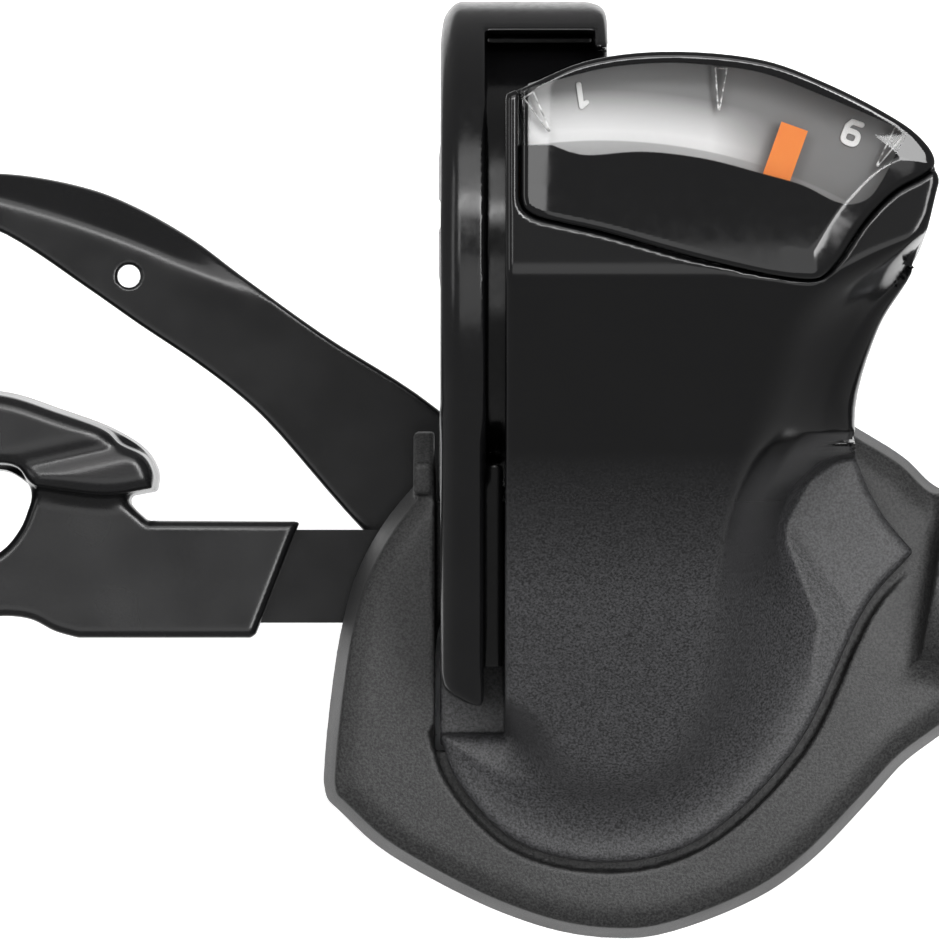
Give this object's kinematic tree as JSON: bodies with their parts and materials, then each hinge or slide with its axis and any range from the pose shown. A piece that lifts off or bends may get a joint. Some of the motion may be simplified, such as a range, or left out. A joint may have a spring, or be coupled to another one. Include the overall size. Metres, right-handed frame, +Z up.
{
  "type": "thumb shifter",
  "caption": "Two-lever under-bar trigger shifter with a curved gear display, hinged bar clamp band, and cable adjuster.",
  "frame": {"origin": "on the handlebar axis, in the middle of the clamp band", "axes": "+X along the handlebar towards the stem, +Y towards the rider, +Z up through the display"},
  "size_m": [0.0808, 0.0557, 0.0461],
  "materials": {
    "clamp_black": "glass-filled nylon, moulded and gloss black",
    "cover_nylon": "moulded nylon, gloss at the top fading to a fine spark-eroded grain",
    "housing_nylon": "moulded nylon with a fine spark-eroded grain",
    "floor_nylon": "moulded nylon with a fine grain",
    "lens_clear": "clear polycarbonate, backed black below its window",
    "dial_face": "printed dial, grey fading to white",
    "needle_orange": "orange moulded flag",
    "needle_black": "black acetal",
    "bolt_steel": "zinc plated steel",
    "screw_steel": "blackened steel",
    "plate_steel": "stamped steel",
    "lever_steel": "stamped steel, black electro-coated",
    "spring_steel": "spring steel wire",
    "bush_brass": "turned brass",
    "bush_acetal": "natural acetal",
    "drum_acetal": "natural acetal",
    "bushing_aluminium": "turned aluminium",
    "pad_nylon": "moulded nylon, satin",
    "barrel_nylon": "moulded nylon with grip grooves"
  },
  "bodies": {
    "housing": {"clamp_bracket": "clamp_black", "clamp_bolt": "bolt_steel", "clamp_nut": "bolt_steel", "bracket_screw": "screw_steel", "top_cover": "cover_nylon", "base_housing": "housing_nylon", "bottom_cover": "floor_nylon", "display_lens": "lens_clear", "dial_plate": "dial_face", "cover_screw_1": "screw_steel", "cover_screw_2": "screw_steel", "cover_screw_3": "screw_steel", "base_plate": "plate_steel", "main_axle": "bolt_steel", "axle_nut": "bolt_steel", "axle_washer": "plate_steel", "lever_spacer": "bush_brass", "drum_bush": "bush_acetal", "drum_spring": "spring_steel", "thumb_return_spring": "spring_steel", "release_return_spring": "spring_steel", "hold_pawl_pin": "bolt_steel", "hold_pawl_spring": "spring_steel", "adjuster_bushing": "bushing_aluminium", "adjuster_spring": "spring_steel"},
    "thumb_lever": {"thumb_lever_arm": "lever_steel", "thumb_pad": "pad_nylon", "pad_screw": "screw_steel", "drive_pawl_pin": "bolt_steel", "drive_pawl_spring": "spring_steel"},
    "drive_pawl": {"drive_pawl": "plate_steel"},
    "release_lever": {"release_lever": "lever_steel"},
    "drum": {"cable_drum": "drum_acetal", "ratchet_wheel": "plate_steel"},
    "needle": {"needle_arm": "needle_black", "needle_flag": "needle_orange"},
    "hold_pawl": {"hold_pawl": "plate_steel"},
    "adjuster": {"adjuster_barrel": "barrel_nylon"}
  },
  "joints": [
    {"name": "thumb_lever_turn", "type": "hinge", "parent": "housing", "child": "thumb_lever", "pos_m": [0.0045, -0.0247, -0.015], "axis": [0, 0, 1], "range_deg": [0, 40], "stiffness_Nm_per_rad": 0.05, "springref_deg": -17.19},
    {"name": "release_lever_turn", "type": "hinge", "parent": "housing", "child": "release_lever", "pos_m": [0.0045, -0.0247, -0.015], "axis": [0, 0, 1], "range_deg": [0, 10], "stiffness_Nm_per_rad": 0.05, "springref_deg": -11.46},
    {"name": "drum_turn", "type": "hinge", "parent": "housing", "child": "drum", "pos_m": [0.0045, -0.0247, -0.015], "axis": [0, 0, 1], "range_deg": [-30, 90]},
    {"name": "needle_swing", "type": "hinge", "parent": "housing", "child": "needle", "pos_m": [0.0045, -0.0247, -0.015], "axis": [0, 0, 1], "range_deg": [-7, 21]},
    {"name": "hold_pawl_swing", "type": "hinge", "parent": "housing", "child": "hold_pawl", "pos_m": [0.01364, -0.03184, -0.0142], "axis": [0, 0, 1], "range_deg": [-8, 0]},
    {"name": "drive_pawl_swing", "type": "hinge", "parent": "thumb_lever", "child": "drive_pawl", "pos_m": [-0.00665, -0.0279, -0.0142], "axis": [0, 0, 1], "range_deg": [-8, 0], "stiffness_Nm_per_rad": 0.002, "springref_deg": 5.73},
    {"name": "adjuster_turn", "type": "hinge", "parent": "housing", "child": "adjuster", "pos_m": [0.0304, -0.02104, -0.0115], "axis": [0.9848, -0.1736, 0], "continuous": true}
  ],
  "couplings": [
    {"joint": "needle_swing", "follows": "drum_turn", "ratio": 0.22667},
    {"joint": "hold_pawl_swing", "follows": "release_lever_turn", "ratio": -0.8}
  ]
}
